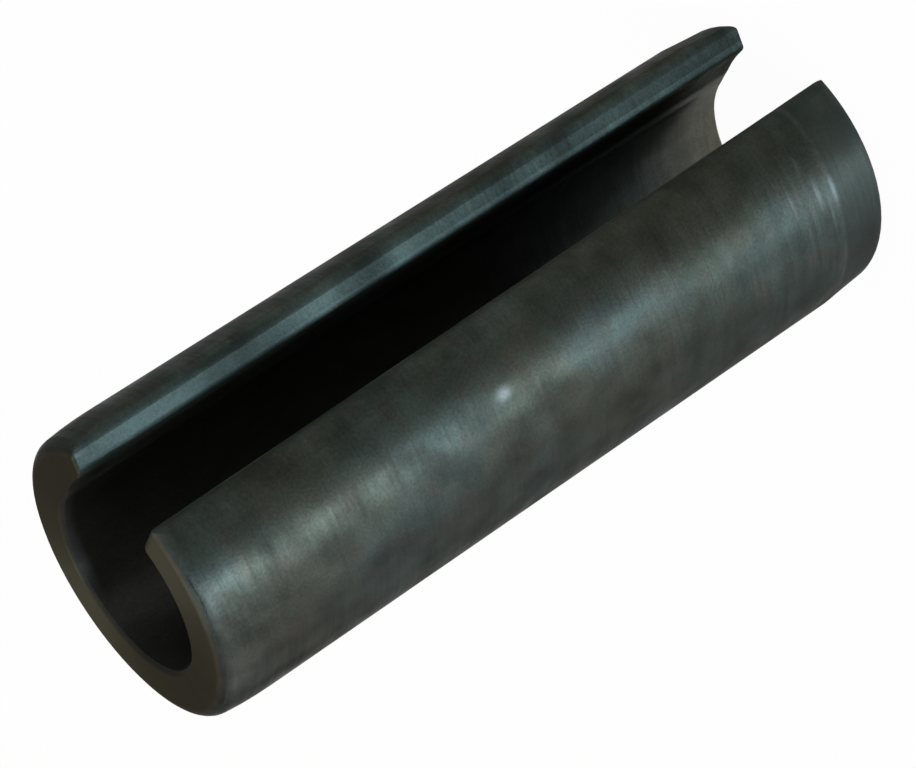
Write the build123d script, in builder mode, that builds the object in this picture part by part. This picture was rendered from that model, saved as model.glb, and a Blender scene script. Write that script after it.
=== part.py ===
"""Slotted spring pin: steel strip rolled into an open tube with tapered ends.

The pin stands on one end. +Z runs along it, the origin is on its axis at the lower end
face, and its slot faces -Y. All sizes are millimetres, for the free pin.
"""

from build123d import *
from math import asin, cos, degrees, radians, sin, tan
import os

os.makedirs("parts", exist_ok=True)

# --- Driving dimensions -------------------------------------------------------------
outer_dia = 8.65  # a drilled 8 mm hole squeezes it in and is gripped by its spring
strip_thickness = 1.6
pin_length = 24.0
slot_gap = 3.46  # across the outside of the tube, as if both lips were sharp
slot_twist = 6.0  # degrees that the strip was rolled askew, over the length of the pin

taper_length = 1.75  # the lead-in at each end
taper_angle = 4.5  # degrees that the lead-in narrows each side, over its length
end_round = 0.42  # where the lead-in turns over into the end face
bore_chamfer = 0.12

# The outer corner of the -X lip rolled over when the strip was slit.
rollover = 0.75

# The rolls left the +X lip on a wider curve than the bore, and it ends in a nose.
curve_inset = 0.17  # start of that curve inside the bore
nose_depth = 0.95  # below the outer surface
nose_round = 0.45
back_round = 0.3

# Tumbling rounds the corner where a lip meets an end face, this far back.
square_wear = 0.25
nose_wear = 0.1
wear_depth = 0.35  # of a worn-off corner on its diagonal, as a share of that distance

# --- Derived sizes ------------------------------------------------------------------
outer_r = outer_dia / 2
bore_r = outer_r - strip_thickness
end_r = outer_r - taper_length * tan(radians(taper_angle))  # lead-in met with the end plane
lip_angle = degrees(asin(slot_gap / 2 / outer_r))  # from -Y to each lip
half_length = pin_length / 2
beyond = 2 * outer_dia  # reach of a cutter past the tube


def toward(angle, radius):
    """Point at this radius, turned from -Y towards +X by this many degrees."""
    return Vector(radius * sin(radians(angle)), -radius * cos(radians(angle)))


def twist_at(height):
    """Degrees that the slot is turned at this height, none at mid-length."""
    return slot_twist * (half_length - height) / pin_length


axis_point = Vector(0, 0)
square_lip = toward(-lip_angle, outer_r)
back_corner = toward(lip_angle, outer_r)
nose = toward(lip_angle, outer_r - nose_depth)
curve_start = Vector(bore_r - curve_inset, 0)
mid_length = Vector(0, 0, half_length)

with BuildPart() as spring_pin:
    with BuildSketch():
        Circle(outer_r)
    extrude(amount=pin_length)

    # The slot, with the wider curve that the +X lip leaves inside, turning as it rises.
    for height in (-outer_dia, pin_length + outer_dia):
        with BuildSketch(Plane.XY.offset(height).rotated((0, 0, twist_at(height)))):
            with BuildLine():
                TangentArc(curve_start, nose, tangent=(0, -1))
                Polyline(
                    nose,
                    toward(lip_angle, beyond),
                    toward(-lip_angle, beyond),
                    axis_point,
                    curve_start,
                )
            make_face()
    loft(ruled=True, mode=Mode.SUBTRACT)
    for corner, radius in (
        (square_lip, rollover),
        (back_corner, back_round),
        (nose, nose_round),
    ):
        fillet(spring_pin.edges().sort_by_distance(corner + mid_length)[0], radius)

    # The worn corners of the lips, cut along the flat of each from the axis outwards.
    # On the cutter's plane x runs from the slot into the steel, y along the pin.
    for lip, wear in ((1, nose_wear), (-1, square_wear)):
        for end_height, inwards in ((0, 1), (pin_length, -1)):
            turned_lip = lip * lip_angle + twist_at(end_height)
            lip_plane = Plane(
                origin=(0, 0, end_height),
                x_dir=toward(turned_lip + lip * 90, 1),
                z_dir=toward(turned_lip, lip),
            )
            with BuildSketch(lip_plane) as worn_corner:
                with BuildLine():
                    on_lip = (0, inwards * wear)
                    on_diagonal = (wear_depth * wear, inwards * wear_depth * wear)
                    on_end_face = (wear, 0)
                    ThreePointArc(on_lip, on_diagonal, on_end_face)
                    Polyline(
                        on_end_face,
                        (wear, -inwards * wear),
                        (-wear, -inwards * wear),
                        (-wear, inwards * wear),
                        on_lip,
                    )
                make_face()
            extrude(amount=lip * beyond, mode=Mode.SUBTRACT)

    # The bore, and both ends as the tapered dies press them, with a rounded rim. The lower
    # lead-in starts at a crease, and the upper one bends in without one.
    with BuildSketch(Plane.XZ) as end_forming:
        with BuildLine():
            TangentArc(
                (outer_r, pin_length - taper_length), (end_r, pin_length), tangent=(0, 1)
            )
            Polyline(
                (end_r, pin_length),
                (bore_r + bore_chamfer, pin_length),
                (bore_r, pin_length - bore_chamfer),
                (bore_r, bore_chamfer),
                (bore_r + bore_chamfer, 0),
                (end_r, 0),
                (outer_r, taper_length),
                (outer_r, pin_length - taper_length),
            )
        make_face()
        for rim in ((end_r, 0), (end_r, pin_length)):
            fillet(end_forming.vertices().sort_by_distance(rim)[0], end_round)
    revolve(axis=Axis.Z, mode=Mode.INTERSECT)

spring_pin.part.label = "spring_pin"
export_step(spring_pin.part, "parts/spring_pin.step")
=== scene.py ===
# %% [markdown]
# # A slotted spring pin
#
# A spring pin is a strip of spring steel rolled into an open tube, with both ends pressed
# in a tapered die so that they start easily into a drilled hole. It is hardened,
# blackened and oiled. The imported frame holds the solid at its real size, so this file
# gives it its finish, stands it on a pale floor and lights it.

from math import cos, radians, sin

import bpy
from mathutils import Matrix, Vector

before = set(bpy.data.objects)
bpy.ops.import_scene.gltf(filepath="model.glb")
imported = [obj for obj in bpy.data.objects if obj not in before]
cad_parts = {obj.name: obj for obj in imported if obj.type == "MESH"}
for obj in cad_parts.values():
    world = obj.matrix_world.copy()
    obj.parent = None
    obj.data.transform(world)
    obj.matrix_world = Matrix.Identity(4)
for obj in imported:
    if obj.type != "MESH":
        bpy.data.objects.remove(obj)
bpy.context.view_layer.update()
MM = 0.001

# %% [markdown]
# ## The camera
#
# The pin is small and the lens is long, so the camera stands only 100 mm away. It looks
# down on the upper end at an angle and is rolled far to one side, which lays the standing
# pin across the frame with the slot uppermost. A camera is placed by four facts: where it
# stands, and which way its right, its up and its back point.

# %% Place the camera
camera_place = Vector((-52.469, -65.369, 52.427)) * MM
camera_right = Vector((-0.653397, 0.063547, -0.754343))
camera_up = Vector((0.506956, -0.703300, -0.498362))
camera_back = camera_right.cross(camera_up).normalized()
camera_up = camera_back.cross(camera_right).normalized()
camera_right = camera_up.cross(camera_back)

camera_data = bpy.data.cameras.new("camera")
camera_data.sensor_fit = "HORIZONTAL"
camera_data.sensor_width = 36.0
camera_data.lens = 132.885
camera_data.clip_start = 10 * MM
camera_data.clip_end = 10.0
camera = bpy.data.objects.new("camera", camera_data)
turn = Matrix((camera_right, camera_up, camera_back)).transposed().to_4x4()
camera.matrix_world = Matrix.Translation(camera_place) @ turn
bpy.context.scene.collection.objects.link(camera)
bpy.context.scene.camera = camera
print("Camera stands", round(camera_place.length / MM, 1), "mm from the foot of the pin")

# %% [markdown]
# ## Helpers for colour and nodes
#
# Colours are written as sRGB hex values, as they look on a screen, and one function turns
# them linear for the shader. One small function adds a node, sets it and links it, so that
# a material reads from top to bottom. A Mix node keeps its colour sockets at fixed places.

# %% Colour and node helpers
MIX_A, MIX_B, MIX_RESULT = 6, 7, 2


def linear(hex_colour):
    """The sRGB curve undone, as a shader's colour."""
    channels = [int(hex_colour[i : i + 2], 16) / 255 for i in (1, 3, 5)]
    return [c / 12.92 if c <= 0.04045 else ((c + 0.055) / 1.055) ** 2.4 for c in channels] + [1.0]


def add(tree, kind, inputs=None, **settings):
    """Add a node. An input is given a value, or the socket of another node to read."""
    made = tree.nodes.new(kind)
    for name, value in settings.items():
        setattr(made, name, value)
    for key, value in (inputs or {}).items():
        if isinstance(value, bpy.types.NodeSocket):
            tree.links.new(value, made.inputs[key])
        else:
            made.inputs[key].default_value = value
    return made


print("Mid grey, as linear light:", round(linear("#808080")[0], 3))

# %% [markdown]
# ## Where on the pin a point is
#
# The finish follows the way the pin was made, so the shader first works out where a point
# lies. Object coordinates are turned to millimetres. The tube was a flat strip before it
# was rolled, and every mark of the rolls and dies runs across or along that strip, so the
# wall is laid flat again: across is the arc from the back of the tube, along is the height,
# and the radius is the depth in the strip. The arc starts at the back, which puts the jump
# in it into the slot, where there is no steel to show it.

# %% Lay the wall flat
PIN_LENGTH = 24.0
OUTER_R = 4.325
LIP_ANGLE = 23.6  # degrees from the middle of the slot to each lip

steel = bpy.data.materials.new("black_oxide_on_rolled_spring_steel")
steel.use_nodes = True
tree = steel.node_tree
tree.nodes.clear()

coordinates = add(tree, "ShaderNodeTexCoord")
mm = add(
    tree,
    "ShaderNodeVectorMath",
    {0: coordinates.outputs["Object"], "Scale": 1 / MM},
    operation="SCALE",
)
x, y, z = add(tree, "ShaderNodeSeparateXYZ", {0: mm.outputs[0]}).outputs
level = add(tree, "ShaderNodeVectorMath", {0: mm.outputs[0], 1: (1, 1, 0)}, operation="MULTIPLY")
radius = add(tree, "ShaderNodeVectorMath", {0: level.outputs[0]}, operation="LENGTH")
radius = radius.outputs["Value"]
back_angle = add(tree, "ShaderNodeMath", {0: x, 1: y}, operation="ARCTAN2")
across = add(tree, "ShaderNodeMath", {0: back_angle.outputs[0], 1: OUTER_R}, operation="MULTIPLY")
across = across.outputs[0]
strip = add(tree, "ShaderNodeCombineXYZ", {0: across, 1: z, 2: radius}).outputs[0]
arc = 2 * OUTER_R * radians(180 - LIP_ANGLE)
print("Outside of the wall laid flat, mm:", round(arc, 1), "x", PIN_LENGTH)

# %% [markdown]
# ## The zones of the finish
#
# One bath of hot alkaline salts blackens the whole pin, but it looks different on each kind
# of surface. The outside was burnished by the rolls, the bore keeps a dull scale that
# nothing has rubbed, the end faces were cropped square and are browner, and the faces of
# the slot are the sheared edges of the strip. Each zone is a mask from 0 to 1, a smooth
# step in radius, in height or in angle.

# %% Masks
BORE_R = 2.725
SLOT_TWIST = 6.0  # degrees over the length of the pin
CREASE = 1.80  # height of the lower lead-in's crease

middle_height = add(tree, "ShaderNodeMath", {0: z, 1: PIN_LENGTH / 2}, operation="SUBTRACT")
from_middle = add(tree, "ShaderNodeMath", {0: middle_height.outputs[0]}, operation="ABSOLUTE")
front = add(tree, "ShaderNodeMath", {0: y, 1: -1.0}, operation="MULTIPLY")
front_angle = add(tree, "ShaderNodeMath", {0: x, 1: front.outputs[0]}, operation="ARCTAN2")
straightened = add(
    tree,
    "ShaderNodeMath",
    {
        0: middle_height.outputs[0],
        1: radians(SLOT_TWIST) / PIN_LENGTH,
        2: front_angle.outputs[0],
    },
    operation="MULTIPLY_ADD",
)
from_slot = add(tree, "ShaderNodeMath", {0: straightened.outputs[0]}, operation="ABSOLUTE")

zones = {}
for zone, place, low, high, at_low, at_high in (
    ("bore", radius, BORE_R + 0.03, BORE_R + 0.13, 1.0, 0.0),
    ("end face", from_middle.outputs[0], PIN_LENGTH / 2 - 0.09, PIN_LENGTH / 2 - 0.01, 0.0, 1.0),
    ("rim", from_middle.outputs[0], PIN_LENGTH / 2 - 0.55, PIN_LENGTH / 2 - 0.1, 0.0, 1.0),
    ("slit", from_slot.outputs[0], radians(LIP_ANGLE + 0.6), radians(LIP_ANGLE + 2.2), 1.0, 0.0),
    ("lower half", z, 9.0, 14.0, 1.0, 0.0),
    # lower bore and lower mouth also lay painted light into the colour of the bore
    ("lower bore", z, 3.0, 10.0, 1.0, 0.0),
    ("lower mouth", z, 0.2, 4.0, 0.85, 0.0),
    # The lower lead-in mask lays a tint of painted shade
    ("lower lead-in", z, CREASE - 0.20, CREASE, 0.5, 0.0),
):
    zones[zone] = add(
        tree,
        "ShaderNodeMapRange",
        {"Value": place, "From Min": low, "From Max": high, "To Min": at_low, "To Max": at_high},
        interpolation_type="SMOOTHSTEP",
    ).outputs["Result"]
print("Zones:", ", ".join(zones))

# %% [markdown]
# ## Noise at the real scales
#
# Seven kinds of unevenness are laid on the strip. Clouds of 3 to 5 mm and blotches of 1 mm
# come from the bath and the oil. The finer mottling is the oxide itself. The rolls and the
# end dies turn about the pin, so their marks are long across the strip and 0.2 mm wide along
# it. Real oxide has a grain of a few micrometres, far too fine to see, so it is drawn at
# 0.08 mm. The swell is the slight waviness of rolled strip. The shear that slit the strip
# bit unevenly, so its pattern changes only along the edge, every 3 mm or so. A Mapping node
# gives the number of features in a millimetre in each direction.

# %% Noise
patterns = {}
for pattern, per_mm, shift, detail, roughness in (
    ("cloud", (0.30, 0.22, 0.4), (3.0, 1.0, 2.0), 2.0, 0.5),
    ("blotch", (0.9, 0.75, 0.9), (4.0, 8.0, 3.0), 2.0, 0.55),
    ("mottle", (1.7, 1.5, 1.7), (7.0, 5.0, 1.0), 4.0, 0.6),
    ("roll marks", (0.25, 6.0, 1.0), (0.0, 2.0, 5.0), 3.0, 0.7),
    ("grain", (12.0, 12.0, 12.0), (0.0, 0.0, 0.0), 2.0, 0.6),
    ("swell", (0.8, 0.55, 0.8), (2.0, 2.0, 9.0), 1.0, 0.5),
    ("shear", (0.0, 0.3, 0.0), (0.0, 0.0, 0.0), 2.0, 0.5),
):
    placed = add(tree, "ShaderNodeMapping", {"Vector": strip, "Scale": per_mm, "Location": shift})
    patterns[pattern] = add(
        tree,
        "ShaderNodeTexNoise",
        {"Vector": placed.outputs[0], "Scale": 1.0, "Detail": detail, "Roughness": roughness},
    ).outputs["Fac"]
print("Patterns:", ", ".join(patterns))

# %% [markdown]
# ## The colours of the oxide
#
# Black oxide on steel isn't neutral. It shifts between a green-black and an olive-black with
# the thickness of the film. The two change over softly in the clouds, and the mottling
# lets a little brown through. The colours here are what the film reflects face on, so they
# are dark.

# %% Colour of the wall
GREEN_BLACK = linear("#353d39")
OLIVE_BLACK = linear("#353831")
BROWN_BLACK = linear("#38342e")

cloudy = add(
    tree,
    "ShaderNodeMapRange",
    {"Value": patterns["cloud"], "From Min": 0.35, "From Max": 0.65},
    interpolation_type="SMOOTHSTEP",
)
oxide = add(
    tree,
    "ShaderNodeMix",
    {0: cloudy.outputs[0], MIX_A: OLIVE_BLACK, MIX_B: GREEN_BLACK},
    data_type="RGBA",
)
brown_share = add(
    tree,
    "ShaderNodeMapRange",
    {"Value": patterns["mottle"], "From Min": 0.45, "From Max": 0.75, "To Max": 0.5},
    interpolation_type="SMOOTHSTEP",
)
oxide = add(
    tree,
    "ShaderNodeMix",
    {0: brown_share.outputs[0], MIX_A: oxide.outputs[MIX_RESULT], MIX_B: BROWN_BLACK},
    data_type="RGBA",
)
print("Green-black, as linear light:", [round(c, 3) for c in GREEN_BLACK[:3]])

# %% [markdown]
# ## Lighter and darker
#
# The blotches and the grain make the oxide lighter and darker, and so do the roll marks on
# the lower half, which has been tried in a hole. Each is a factor around 1. They are
# multiplied into one shading, so that the wall, the sheared edges and the bore can share it.

# %% Shading
STREAK_DEPTH = 0.8

blotchy = add(
    tree,
    "ShaderNodeMapRange",
    {
        "Value": patterns["blotch"],
        "From Min": 0.3,
        "From Max": 0.7,
        "To Min": 0.83,
        "To Max": 1.2,
    },
)
grainy = add(
    tree,
    "ShaderNodeMapRange",
    {
        "Value": patterns["grain"],
        "From Min": 0.3,
        "From Max": 0.7,
        "To Min": 0.84,
        "To Max": 1.16,
    },
)
streak_depth = add(
    tree, "ShaderNodeMath", {0: zones["lower half"], 1: STREAK_DEPTH}, operation="MULTIPLY"
)
streaky = add(tree, "ShaderNodeMath", {0: patterns["roll marks"], 1: -0.5}, operation="ADD")
streaky = add(
    tree,
    "ShaderNodeMath",
    {0: streaky.outputs[0], 1: streak_depth.outputs[0], 2: 1.0},
    operation="MULTIPLY_ADD",
)
shading = blotchy.outputs[0]
for share in (grainy, streaky):
    shading = add(
        tree, "ShaderNodeMath", {0: shading, 1: share.outputs[0]}, operation="MULTIPLY"
    ).outputs[0]
print("Roll marks change the lower half by up to", STREAK_DEPTH / 2, "either way")

# %% [markdown]
# ## The sheared edges and the bore
#
# The shear left the faces of the slot smooth in some lengths and torn and dull in others.
# The bore keeps its scale, dark in the upper half. Towards the lower mouth it is painted paler
# and warmer, which is painted light: it stands in for the light that comes in at the open lower
# end. Both are plain mixes of colours, one by a pattern and the other by zones. Then the wall,
# the sheared edges and the bore all take the same shading.

# %% Colours of the sheared edges and the bore
SHEARED_DULL = linear("#252a28")
SHEARED_BRIGHT = linear("#4c5b57")
BORE_SCALE = linear("#2b2c29")
# Painted light: the bore paler and warmer towards its open lower end
BORE_PAINTED_LIGHT = linear("#525c5b")
MOUTH_PAINTED_WARM_LIGHT = linear("#6c6a5f")

sheared_gloss = add(
    tree,
    "ShaderNodeMapRange",
    {
        "Value": patterns["shear"],
        "From Min": 0.35,
        "From Max": 0.65,
        "To Min": 0.2,
        "To Max": 0.7,
    },
    interpolation_type="SMOOTHSTEP",
)
sheared = add(
    tree,
    "ShaderNodeMix",
    {0: sheared_gloss.outputs[0], MIX_A: SHEARED_DULL, MIX_B: SHEARED_BRIGHT},
    data_type="RGBA",
)
bore = BORE_SCALE
# These mixes paint the light that comes in at the lower mouth into the bore's colour
for zone, own_colour in (("lower bore", BORE_PAINTED_LIGHT), ("lower mouth", MOUTH_PAINTED_WARM_LIGHT)):
    bore = add(
        tree,
        "ShaderNodeMix",
        {0: zones[zone], MIX_A: bore, MIX_B: own_colour},
        data_type="RGBA",
    ).outputs[MIX_RESULT]
shaded = {}
for surface, plain in (
    ("wall", oxide.outputs[MIX_RESULT]),
    ("slit", sheared.outputs[MIX_RESULT]),
    ("bore", bore),
):
    shaded[surface] = add(
        tree, "ShaderNodeVectorMath", {0: plain, "Scale": shading}, operation="SCALE"
    ).outputs[0]
print("Shaded:", ", ".join(shaded))

# %% [markdown]
# ## One colour for the whole pin
#
# The zones are laid over the wall one by one, and a later one covers an earlier one where they
# meet. The cropped end faces are one even brown. The lower lead-in takes half of an even tint,
# which is painted shade: it stands in for the change of tone where the lead-in tilts away from
# the light at its crease.

# %% Lay the zones over the wall
# Painted shade: stands in for the lead-in's change of tone at its crease
LEAD_IN_PAINTED_SHADE = linear("#343b38")
CROPPED_END = linear("#474539")

colour = shaded["wall"]
for zone, own_colour in (
    ("lower lead-in", LEAD_IN_PAINTED_SHADE),
    ("slit", shaded["slit"]),
    ("end face", CROPPED_END),
    ("bore", shaded["bore"]),
):
    colour = add(
        tree,
        "ShaderNodeMix",
        {0: zones[zone], MIX_A: colour, MIX_B: own_colour},
        data_type="RGBA",
    ).outputs[MIX_RESULT]
    print("Laid over the wall:", zone)

# %% [markdown]
# ## Scratches and a nick
#
# The lower end has been tried in a hole. Its lead-in and the first millimetres of the wall carry
# a few short scratches that run round the pin, where the oxide is rubbed thin and the steel shows
# through, and there is one small nick further up. The nick's light patch is partly steel rubbed
# bare and partly a painted highlight, the glint of a dent catching the light. They are too fine
# to model, so each is a mask in the laid-flat strip: full at its middle, and fading to nothing at
# its ends and sides. The strongest of them wins where they overlap.

# %% Rubbed-through marks
MARKS = (  # across, along, half length and half width in mm, then strength
    (-9.10, 2.33, 0.80, 0.13, 0.12),
    (-8.95, 1.78, 0.75, 0.14, 0.20),
    (-10.15, 2.56, 0.40, 0.10, 0.07),
    (-9.30, 3.25, 0.70, 0.09, 0.07),
    (-8.30, 2.05, 0.80, 0.10, 0.08),
    # The nick: steel rubbed bare, and partly a painted glint of the dent
    (-9.36, 13.80, 0.30, 0.38, 0.27),
)
wear_and_glint = 0.0
for mark_across, mark_along, half_length, half_width, strength in MARKS:
    fades = []
    for place, middle, reach in (
        (across, mark_across, half_length),
        (z, mark_along, half_width),
    ):
        offset = add(tree, "ShaderNodeMath", {0: place, 1: middle}, operation="SUBTRACT")
        distance = add(tree, "ShaderNodeMath", {0: offset.outputs[0]}, operation="ABSOLUTE")
        fades.append(
            add(
                tree,
                "ShaderNodeMapRange",
                {"Value": distance.outputs[0], "From Max": reach, "To Min": 1.0, "To Max": 0.0},
                interpolation_type="SMOOTHSTEP",
            ).outputs["Result"]
        )
    mark = add(tree, "ShaderNodeMath", {0: fades[0], 1: fades[1]}, operation="MULTIPLY")
    mark = add(tree, "ShaderNodeMath", {0: mark.outputs[0], 1: strength}, operation="MULTIPLY")
    wear_and_glint = add(
        tree, "ShaderNodeMath", {0: wear_and_glint, 1: mark.outputs[0]}, operation="MAXIMUM"
    ).outputs[0]
print("Marks:", len(MARKS))

# %% [markdown]
# ## Wear on the edges
#
# The crease of the lower lead-in and both rims rub on all that the pin meets, so the oxide
# is a little thinner there, unevenly. Wear and marks both stay on the outside of the pin,
# which for this purpose ends 0.45 mm below the wall, part of the way down the round rims.

# %% Worn edges
CREASE_WEAR = 0.16  # how far the wear reaches to each side of the crease
OUTSIDE_DEPTH = 0.45  # below the wall, and still on the outside of a rim
RUBBED_STEEL_AND_GLINT = linear("#8f9696")

worn = add(
    tree,
    "ShaderNodeMapRange",
    {
        "Value": patterns["mottle"],
        "From Min": 0.35,
        "From Max": 0.65,
        "To Min": 0.01,
        "To Max": 0.07,
    },
)
crease = add(tree, "ShaderNodeMath", {0: z, 1: CREASE}, operation="SUBTRACT")
crease = add(tree, "ShaderNodeMath", {0: crease.outputs[0]}, operation="ABSOLUTE")
crease = add(
    tree,
    "ShaderNodeMapRange",
    {"Value": crease.outputs[0], "From Max": CREASE_WEAR, "To Min": 1.0, "To Max": 0.0},
    interpolation_type="SMOOTHSTEP",
)
for edge in (crease.outputs["Result"], zones["rim"]):
    worn_edge = add(tree, "ShaderNodeMath", {0: edge, 1: worn.outputs[0]}, operation="MULTIPLY")
    wear_and_glint = add(
        tree, "ShaderNodeMath", {0: wear_and_glint, 1: worn_edge.outputs[0]}, operation="MAXIMUM"
    ).outputs[0]
on_outside = add(
    tree, "ShaderNodeMath", {0: radius, 1: OUTER_R - OUTSIDE_DEPTH}, operation="GREATER_THAN"
)
wear_and_glint = add(tree, "ShaderNodeMath", {0: wear_and_glint, 1: on_outside.outputs[0]}, operation="MULTIPLY")
wear_and_glint = wear_and_glint.outputs[0]
# Rubbed steel on the marks and edges, and the nick's painted glint
colour = add(
    tree,
    "ShaderNodeMix",
    {0: wear_and_glint, MIX_A: colour, MIX_B: RUBBED_STEEL_AND_GLINT},
    data_type="RGBA",
).outputs[MIX_RESULT]
print("Wear reaches", OUTSIDE_DEPTH, "mm in from the wall at the rims")

# %% [markdown]
# ## Gloss
#
# The oil makes the outside satin. It lies unevenly, so the roughness follows the blotches,
# and the roll marks break it into fine lines. The sheared edges, the end faces and the upper
# part of the bore are duller than the wall. The lower mouth of the bore is glossier, and so
# is steel that has been rubbed.

# %% Roughness
SATIN = 0.50
OIL_SPREAD = 0.07
LINE_SPREAD = 0.05
SHEARED_ROUGHNESS = 0.60
CROPPED_ROUGHNESS = 0.55
UPPER_BORE_ROUGHNESS = 0.55
LOWER_BORE_ROUGHNESS = 0.42
RUBBED_ROUGHNESS = 0.42

oily = add(
    tree,
    "ShaderNodeMapRange",
    {
        "Value": patterns["blotch"],
        "From Min": 0.3,
        "From Max": 0.7,
        "To Min": SATIN + OIL_SPREAD,
        "To Max": SATIN - OIL_SPREAD,
    },
)
lined = add(
    tree,
    "ShaderNodeMapRange",
    {
        "Value": patterns["roll marks"],
        "From Min": 0.35,
        "From Max": 0.65,
        "To Min": -LINE_SPREAD,
        "To Max": LINE_SPREAD,
    },
)
rough = add(tree, "ShaderNodeMath", {0: oily.outputs[0], 1: lined.outputs[0]}, operation="ADD")
rough = rough.outputs[0]
bore_gloss = add(
    tree,
    "ShaderNodeMapRange",
    {
        "Value": zones["lower bore"],
        "To Min": UPPER_BORE_ROUGHNESS,
        "To Max": LOWER_BORE_ROUGHNESS,
    },
)
for mask, own_roughness in (
    (zones["slit"], SHEARED_ROUGHNESS),
    (zones["bore"], bore_gloss.outputs[0]),
    (zones["end face"], CROPPED_ROUGHNESS),
    (wear_and_glint, RUBBED_ROUGHNESS),
):
    rough = add(
        tree,
        "ShaderNodeMix",
        {0: mask, 2: rough, 3: own_roughness},
        data_type="FLOAT",
    ).outputs[0]
print("Roughness of the wall:", SATIN, "give or take", round(OIL_SPREAD + LINE_SPREAD, 2))

# %% [markdown]
# ## Relief
#
# Four small reliefs stack in Bump nodes, each with its height in millimetres. The rolls
# leave the wall very slightly wavy, by 0.03 mm every 2 mm or so. The mottling of the sheared
# edges is 0.008 mm deep. So are the marks round the pin on the lower half, and above it they
# are a fifth of that. The grain is shallower still. None of it changes the outline, so none
# of it needs a mesh.

# %% Bump
sheared_relief = add(
    tree, "ShaderNodeMath", {0: patterns["mottle"], 1: zones["slit"]}, operation="MULTIPLY"
)
lined_more = add(
    tree,
    "ShaderNodeMapRange",
    {"Value": zones["lower half"], "To Min": 0.2, "To Max": 1.0},
)
lines = add(
    tree,
    "ShaderNodeMath",
    {0: patterns["roll marks"], 1: lined_more.outputs[0]},
    operation="MULTIPLY",
)
normal = None
for height, depth_mm in (
    (patterns["swell"], 0.030),
    (sheared_relief.outputs[0], 0.008),
    (lines.outputs[0], 0.008),
    (patterns["grain"], 0.003),
):
    relief = {"Height": height, "Strength": 1.0, "Distance": depth_mm * MM}
    if normal:
        relief["Normal"] = normal
    normal = add(tree, "ShaderNodeBump", relief).outputs[0]
    print("Relief", depth_mm, "mm deep")

# %% [markdown]
# ## The shader
#
# The film is thin and the steel under it gives the gloss, so it is a metal of a dark
# colour. Its marks run round the pin, and so they spread the light along it: the gloss is
# stretched along the tangent, a vector that leans outwards and up and so falls along the
# wall. The oil and the roughness take away the bright edge that a clean metal has at a
# grazing view. The bore's scale is dull, and less of a metal.

# %% Put the shader together
metal = add(tree, "ShaderNodeMapRange", {"Value": zones["bore"], "To Min": 1.0, "To Max": 0.7})
leaning = add(tree, "ShaderNodeCombineXYZ", {0: x, 1: y, 2: radius})
shader = add(
    tree,
    "ShaderNodeBsdfPrincipled",
    {
        "Base Color": colour,
        "Metallic": metal.outputs[0],
        "Roughness": rough,
        "Anisotropic": 0.8,
        "Specular Tint": (0.5, 0.5, 0.5, 1.0),
        "Tangent": leaning.outputs[0],
        "Normal": normal,
    },
)
add(tree, "ShaderNodeOutputMaterial", {"Surface": shader.outputs[0]})
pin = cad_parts["spring_pin"]
pin.material_slots[0].material = steel
print("Steel has", len(tree.nodes), "nodes")

# %% [markdown]
# ## The floor
#
# A plain sheet of white paper, far larger than the view. Lit at a plain level, matt paper
# would render grey, so the camera and the reflections see most of it as a plain white
# glow. The rest is real paper, which takes the soft shadow of the pin.

# %% Make the floor
FLOOR_SIZE = 4.0
GLOW_SHARE = 0.97

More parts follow.
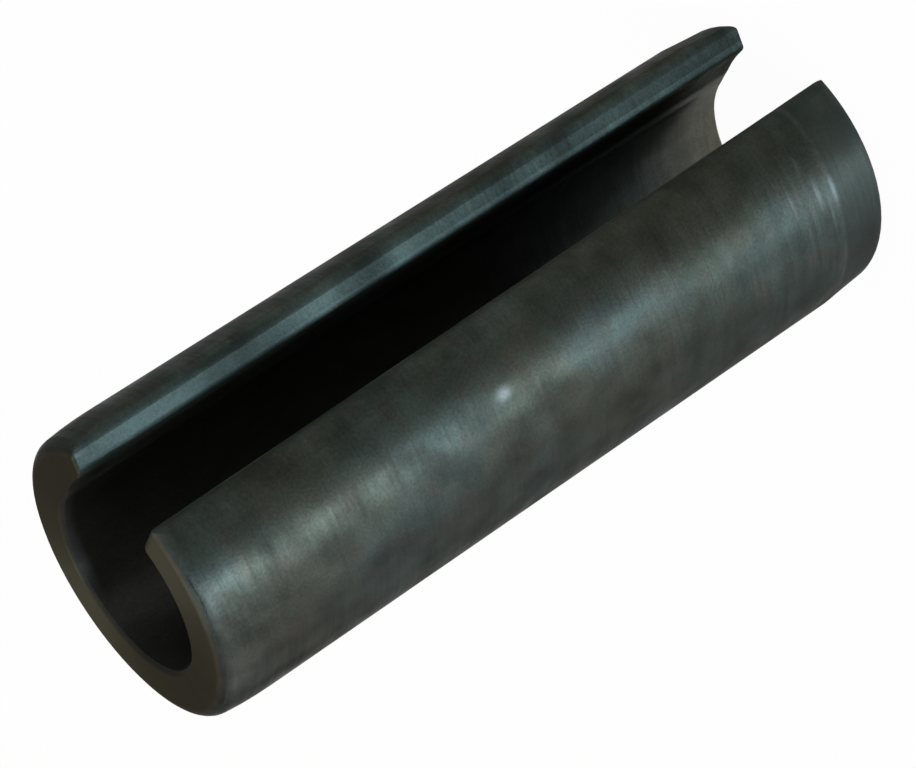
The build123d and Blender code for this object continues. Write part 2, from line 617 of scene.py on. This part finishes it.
bpy.ops.object.select_all(action="DESELECT")
bpy.ops.mesh.primitive_plane_add(size=FLOOR_SIZE, location=(0, 0, 0))
floor = bpy.context.object
floor.name = "floor"
paper = bpy.data.materials.new("white_paper_floor")
paper.use_nodes = True
tree = paper.node_tree
tree.nodes.clear()
matt = add(tree, "ShaderNodeBsdfDiffuse", {"Color": linear("#e7e7e7")})
glow = add(tree, "ShaderNodeEmission", {"Strength": 1.0})
rays = add(tree, "ShaderNodeLightPath").outputs
seen = rays["Is Camera Ray"]
for ray in ("Is Glossy Ray", "Is Transmission Ray"):
    seen = add(tree, "ShaderNodeMath", {0: seen, 1: rays[ray]}, operation="MAXIMUM").outputs[0]
share = add(tree, "ShaderNodeMath", {0: seen, 1: GLOW_SHARE}, operation="MULTIPLY")
surface = add(
    tree,
    "ShaderNodeMixShader",
    {0: share.outputs[0], 1: matt.outputs[0], 2: glow.outputs[0]},
)
add(tree, "ShaderNodeOutputMaterial", {"Surface": surface.outputs[0]})
floor.data.materials.append(paper)
print("Floor is", FLOOR_SIZE, "m wide")

# %% [markdown]
# ## The light
#
# The room is an even, slightly warm grey, and a broad lamp overhead gives the soft shadow.
# Three lamps stand level with the pin and are a little cool beside the room, as daylight
# is indoors. The window draws the bright line along the wall. A weaker lamp at its edge
# lets that line fade slowly, and a broad weak one beyond lifts the side that turns away.

# %% Light it
ROOM = (0.50, 0.48, 0.44)
LAMPS = (  # name, azimuth, distance, height, width, tall, watts, colour
    ("overhead", 0.0, 0.0, 400.0, 300.0, 300.0, 0.5, (1.0, 1.0, 1.0)),
    ("window", -168.5, 300.0, 25.0, 95.0, 50.0, 1.17, (0.73, 0.85, 1.0)),
    ("window_edge", 163.0, 300.0, 28.0, 120.0, 50.0, 0.33, (0.85, 0.87, 1.0)),
    ("far_side", 124.0, 300.0, 30.0, 240.0, 50.0, 0.29, (0.93, 0.82, 1.0)),
)
world = bpy.data.worlds.new("grey_room")
bpy.context.scene.world = world
world.use_nodes = True
world.node_tree.nodes["Background"].inputs["Color"].default_value = (*ROOM, 1.0)
for name, azimuth, distance, height, width, tall, watts, tint in LAMPS:
    lamp = bpy.data.lights.new(name, "AREA")
    lamp.shape = "RECTANGLE"
    lamp.size = width * MM
    lamp.size_y = tall * MM
    lamp.energy = watts
    lamp.color = tint
    holder = bpy.data.objects.new(name, lamp)
    turned = radians(azimuth)
    holder.location = Vector((distance * cos(turned), distance * sin(turned), height)) * MM
    aim = Vector((0, 0, min(height, PIN_LENGTH / 2))) * MM
    holder.rotation_mode = "QUATERNION"
    holder.rotation_quaternion = (aim - holder.location).to_track_quat("-Z", "Y")
    bpy.context.scene.collection.objects.link(holder)
    print("Lamp", name, "stands", round((holder.location - aim).length / MM), "mm away")

bpy.context.scene.view_settings.view_transform = "Standard"
